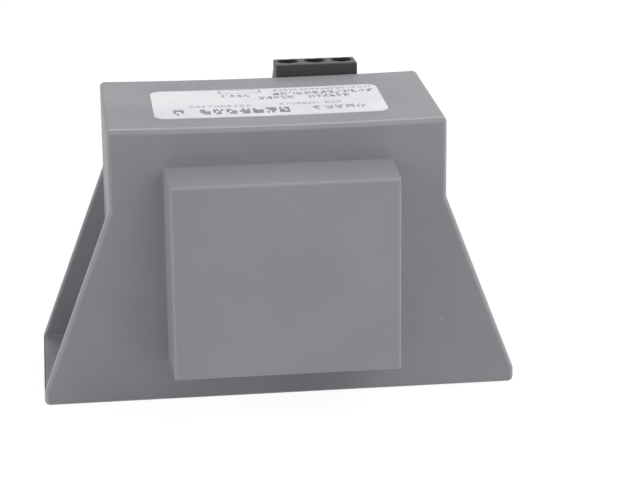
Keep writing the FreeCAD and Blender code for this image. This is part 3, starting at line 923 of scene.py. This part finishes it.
def enamelled_copper():
    """Copper wire under clear enamel, wound in turns 0.45 mm apart."""
    material, tree, place = new_material("enamelled_copper_wire")
    turns = add_node(tree, "ShaderNodeTexWave", {
        "Vector": place, "Scale": 2 * math.pi / (20 * 0.45 * MM), "Distortion": 0.6,
        "Detail": 1.0}, bands_direction="Z").node.outputs["Fac"]
    tone = add_node(tree, "ShaderNodeMix", {
        "Factor": turns, "A": "5A2A12", "B": "B5622E"}, data_type="RGBA")
    relief = add_node(tree, "ShaderNodeBump", {"Height": turns, "Distance": 0.1 * MM})
    shader = add_node(tree, "ShaderNodeBsdfPrincipled", {
        "Base Color": tone, "Metallic": 0.7, "Roughness": 0.32, "Normal": relief})
    add_node(tree, "ShaderNodeOutputMaterial", {"Surface": shader})
    return material


def polyester_tape():
    """Yellow polyester coil tape: glossy, with faint wrinkles."""
    material, tree, place = new_material("polyester_coil_tape")
    wrinkle = add_node(tree, "ShaderNodeTexNoise", {
        "Vector": place, "Scale": per_metre(4 * MM), "Detail": 3.0})
    tone = add_node(tree, "ShaderNodeMix", {
        "Factor": wrinkle, "A": "C9A227", "B": "DDBB45"}, data_type="RGBA")
    relief = add_node(tree, "ShaderNodeBump", {"Height": wrinkle, "Distance": 0.12 * MM})
    shader = add_node(tree, "ShaderNodeBsdfPrincipled", {
        "Base Color": tone, "Roughness": 0.25, "Normal": relief})
    add_node(tree, "ShaderNodeOutputMaterial", {"Surface": shader})
    return material


def cast_resin():
    """Two-part polyurethane resin, cast and self-levelled: dark, glossy, with a slow ripple."""
    material, tree, place = new_material("cast_polyurethane_resin")
    ripple = add_node(tree, "ShaderNodeTexNoise", {
        "Vector": place, "Scale": per_metre(11 * MM), "Detail": 1.5})
    bubble = add_node(tree, "ShaderNodeTexVoronoi", {"Vector": place, "Scale": per_metre(5 * MM)})
    pit = add_node(tree, "ShaderNodeMapRange", {
        "Value": bubble, "From Min": 0.05, "From Max": 0.09})
    height = add_node(tree, "ShaderNodeMath", {0: ripple, 1: pit}, operation="ADD")
    tone = add_node(tree, "ShaderNodeMix", {
        "Factor": ripple, "A": "26282B", "B": "303338"}, data_type="RGBA")
    dullness = add_node(tree, "ShaderNodeMapRange", {
        "Value": ripple, "From Min": 0.3, "From Max": 0.7, "To Min": 0.22, "To Max": 0.34})
    relief = add_node(tree, "ShaderNodeBump", {"Height": height, "Distance": 0.25 * MM})
    shader = add_node(tree, "ShaderNodeBsdfPrincipled", {
        "Base Color": tone, "Roughness": dullness, "Normal": relief})
    add_node(tree, "ShaderNodeOutputMaterial", {"Surface": shader})
    return material


# Stage


def seen_directly(tree):
    """1 for camera, glossy and transmission rays, and 0 for light."""
    path = add_node(tree, "ShaderNodeLightPath").node
    seen = path.outputs["Is Camera Ray"]
    for other in ("Is Glossy Ray", "Is Transmission Ray"):
        seen = add_node(tree, "ShaderNodeMath", {0: seen, 1: path.outputs[other]},
                        operation="MAXIMUM")
    return seen


def build_floor():
    """Pale floor that shows as white, with a soft trace of the object's shadow."""
    bm = bmesh.new()
    bmesh.ops.create_grid(bm, x_segments=1, y_segments=1, size=FLOOR_SIZE)
    floor = object_from(bm, "studio_floor")
    material, tree, _ = new_material("pale_paper")
    paper = add_node(tree, "ShaderNodeBsdfDiffuse", {"Color": "EFEFEF"})
    glow = add_node(tree, "ShaderNodeEmission", {"Strength": FLOOR_GLOW})
    share = add_node(tree, "ShaderNodeMath", {0: seen_directly(tree), 1: FLOOR_GLOW_SHARE},
                     operation="MULTIPLY")
    blend = add_node(tree, "ShaderNodeMixShader", {0: share, 1: paper, 2: glow})
    add_node(tree, "ShaderNodeOutputMaterial", {"Surface": blend})
    floor.data.materials.append(material)


def light_sky(strength):
    """White surroundings, dimmer as a light than they look."""
    world = bpy.data.worlds.new("studio")
    bpy.context.scene.world = world
    world.use_nodes = True
    tree = world.node_tree
    tree.nodes.clear()
    level = add_node(tree, "ShaderNodeMapRange", {
        "Value": seen_directly(tree), "To Min": strength, "To Max": 1.0})
    sky = add_node(tree, "ShaderNodeBackground", {"Color": "FFFFFF", "Strength": level})
    add_node(tree, "ShaderNodeOutputWorld", {"Surface": sky})


def add_lamp(name, turn, height, size, power):
    """Square soft lamp aimed at the object; its turn is in degrees from the front."""
    data = bpy.data.lights.new(name, "AREA")
    data.size = size
    data.energy = power
    lamp = bpy.data.objects.new(name, data)
    turn, height = math.radians(turn), math.radians(height)
    toward = Vector((math.sin(turn) * math.cos(height),
                     -math.cos(turn) * math.cos(height), math.sin(height)))
    lamp.location = LAMP_AIM + LAMP_DISTANCE * toward
    lamp.rotation_euler = toward.to_track_quat("Z", "Y").to_euler()
    bpy.context.scene.collection.objects.link(lamp)


def place_camera():
    """Camera where the photograph was taken from."""
    azimuth, elevation, roll = (
        math.radians(angle) for angle in (CAMERA_AZIMUTH, CAMERA_ELEVATION, CAMERA_ROLL))
    forward = Vector((math.sin(azimuth) * math.cos(elevation),
                      math.cos(azimuth) * math.cos(elevation), -math.sin(elevation)))
    level = Vector((math.cos(azimuth), -math.sin(azimuth), 0.0))
    upright = level.cross(forward)
    right = math.cos(roll) * level + math.sin(roll) * upright
    up = math.cos(roll) * upright - math.sin(roll) * level
    data = bpy.data.cameras.new("photo_camera")
    data.lens = CAMERA_LENS
    data.sensor_width = 36.0
    data.shift_x, data.shift_y = CAMERA_SHIFT
    data.clip_start = 0.01
    camera = bpy.data.objects.new("photo_camera", data)
    turn = Matrix((right, up, -forward)).transposed().to_4x4()
    camera.matrix_world = Matrix.Translation(CAMERA_PLACE) @ turn
    bpy.context.scene.collection.objects.link(camera)
    bpy.context.scene.camera = camera


# Operators


class TRANSFORMER_OT_case(bpy.types.Operator):
    """Mould the case"""

    bl_idname = "transformer.case"
    bl_label = "Moulded case"

    def execute(self, context):
        settings = context.scene.transformer_case
        seat(mould_case(settings), "case_plastic", spark_textured_abs(settings.colour), "housing")
        return {"FINISHED"}


class TRANSFORMER_OT_label(bpy.types.Operator):
    """Stick the rating label on the top"""

    bl_idname = "transformer.label"
    bl_label = "Rating label"

    def execute(self, context):
        settings = context.scene.transformer_label
        label = cut_label(settings, context.scene.transformer_case.sag)
        seat(label, "label_film", polyester_film(settings), "rating_label")
        return {"FINISHED"}


class TRANSFORMER_OT_blocks(bpy.types.Operator):
    """Mould the two terminal blocks"""

    bl_idname = "transformer.blocks"
    bl_label = "Terminal blocks"

    def execute(self, context):
        settings = context.scene.transformer_terminals
        for side in ("primary", "secondary"):
            node = side + "_terminal_body"
            pole = (pole_places(node)[0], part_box(node)[0].y + SCREW_Y)
            nylon = glass_filled_nylon(side + "_block_glass_filled_nylon", settings.plastic, pole)
            seat(mould_block(node, side + "_terminal_block", settings), "terminal_plastic",
                 nylon, node)
        return {"FINISHED"}


class TRANSFORMER_OT_screws(bpy.types.Operator):
    """Turn the clamp screws and finish the clamps"""

    bl_idname = "transformer.screws"
    bl_label = "Clamp screws and clamps"

    def execute(self, context):
        zinc = plated_metal("bright_zinc_plated_steel", "C9CBCE", "A9ACB0", 0.28, 0.5 * MM)
        nickel = plated_metal("nickel_plated_brass", "C9BFA8", "AFA58E", 0.3, 0.7 * MM)
        tin = plated_metal("tinned_brass", "C2C2BE", "A6A6A2", 0.36, 0.7 * MM)
        for side in ("primary", "secondary"):
            node = side + "_clamp_screws"
            seat(turn_screws(node, side + "_cheese_head_screws"), "plated_steel", zinc, node)
            paint_node(side + "_clamp_cages", nickel)
            paint_node(side + "_solder_pins", tin)
        return {"FINISHED"}


class TRANSFORMER_OT_coil(bpy.types.Operator):
    """Finish the core, the coil former and the windings"""

    bl_idname = "transformer.coil"
    bl_label = "Core and coil"

    def execute(self, context):
        nylon = glass_filled_nylon("former_glass_filled_nylon", "2A2A2A")
        seat(finish_former(), "former_plastic", nylon, "coil_former")
        steel = oiled_core_steel()
        copper = enamelled_copper()
        tape = polyester_tape()
        for node in ("e_laminations", "i_laminations"):
            paint_node(node, steel)
        for side in ("primary", "secondary"):
            paint_node(side + "_winding", copper)
            paint_node(side + "_leads", copper)
            paint_node(side + "_tape", tape)
        return {"FINISHED"}


class TRANSFORMER_OT_resin(bpy.types.Operator):
    """Pour the potting resin"""

    bl_idname = "transformer.resin"
    bl_label = "Potting resin"

    def execute(self, context):
        resin = cast_resin()
        paint_node("potting_resin", resin)
        seat(pour_resin(context.scene.transformer_case.sag), "resin", resin)
        return {"FINISHED"}


class TRANSFORMER_OT_stage(bpy.types.Operator):
    """Set up the floor, the lights and the camera"""

    bl_idname = "transformer.stage"
    bl_label = "Stage"

    def execute(self, context):
        settings = context.scene.transformer_stage
        context.scene.view_settings.view_transform = "Standard"
        build_floor()
        light_sky(settings.sky)
        for name, turn, height, size, power in (
                ("right_softbox", 75.0, 40.0, 0.6, settings.right_power),
                ("high_softbox", 75.0, 65.0, 0.6, settings.high_power),
                ("left_softbox", -75.0, 12.0, 0.6, settings.left_power),
                ("front_softbox", 25.0, 12.0, 0.6, settings.front_power),
                ("back_softbox", 180.0, 25.0, 0.7, settings.back_power)):
            add_lamp(name, turn, height, size, power)
        place_camera()
        return {"FINISHED"}


class TRANSFORMER_PT_panel(bpy.types.Panel):
    """Sizes, finishes and steps of the transformer"""

    bl_idname = "TRANSFORMER_PT_panel"
    bl_label = "Enclosed transformer"
    bl_space_type = "VIEW_3D"
    bl_region_type = "UI"
    bl_category = "Transformer"

    def draw(self, context):
        scene = context.scene
        for settings in (scene.transformer_case, scene.transformer_label,
                         scene.transformer_terminals, scene.transformer_stage):
            column = self.layout.box().column()
            for name in settings.__annotations__:
                column.prop(settings, name)
        for step in STEPS:
            self.layout.operator(step.bl_idname)


GROUPS = {
    "transformer_case": CaseSettings,
    "transformer_label": LabelSettings,
    "transformer_terminals": TerminalSettings,
    "transformer_stage": StageSettings,
}
STEPS = (
    TRANSFORMER_OT_case,
    TRANSFORMER_OT_label,
    TRANSFORMER_OT_blocks,
    TRANSFORMER_OT_screws,
    TRANSFORMER_OT_coil,
    TRANSFORMER_OT_resin,
    TRANSFORMER_OT_stage,
)


def register():
    for name, group in GROUPS.items():
        bpy.utils.register_class(group)
        setattr(bpy.types.Scene, name, bpy.props.PointerProperty(type=group))
    for step in STEPS:
        bpy.utils.register_class(step)
    bpy.utils.register_class(TRANSFORMER_PT_panel)


def unregister():
    bpy.utils.unregister_class(TRANSFORMER_PT_panel)
    for step in reversed(STEPS):
        bpy.utils.unregister_class(step)
    for name, group in reversed(list(GROUPS.items())):
        delattr(bpy.types.Scene, name)
        bpy.utils.unregister_class(group)


def main():
    register()
    bpy.ops.transformer.case()
    bpy.ops.transformer.label()
    bpy.ops.transformer.blocks()
    bpy.ops.transformer.screws()
    bpy.ops.transformer.coil()
    bpy.ops.transformer.resin()
    bpy.ops.transformer.stage()


if __name__ == "__main__":
    main()
